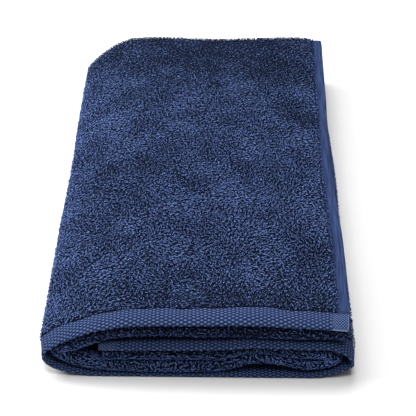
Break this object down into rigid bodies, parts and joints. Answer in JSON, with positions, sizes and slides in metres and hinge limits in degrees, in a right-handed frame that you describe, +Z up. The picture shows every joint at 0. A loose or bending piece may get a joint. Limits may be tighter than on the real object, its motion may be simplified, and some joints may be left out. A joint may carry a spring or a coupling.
{
  "type": "folded terry towel",
  "caption": "Terry towel folded in thirds both ways into a flat stack, with woven end hems showing at one short side and a plain selvedge along the top layer",
  "frame": {"origin": "middle of the footprint, on the surface that the towel lies on", "axes": "+Y along the folded stack, away from the hemmed end; +X towards the side with the top layer's free edge; +Z up"},
  "size_m": [0.174, 0.3385, 0.0398],
  "materials": {
    "towel": "matte"
  },
  "bodies": {
    "root": {"towel": "towel"}
  },
  "joints": []
}
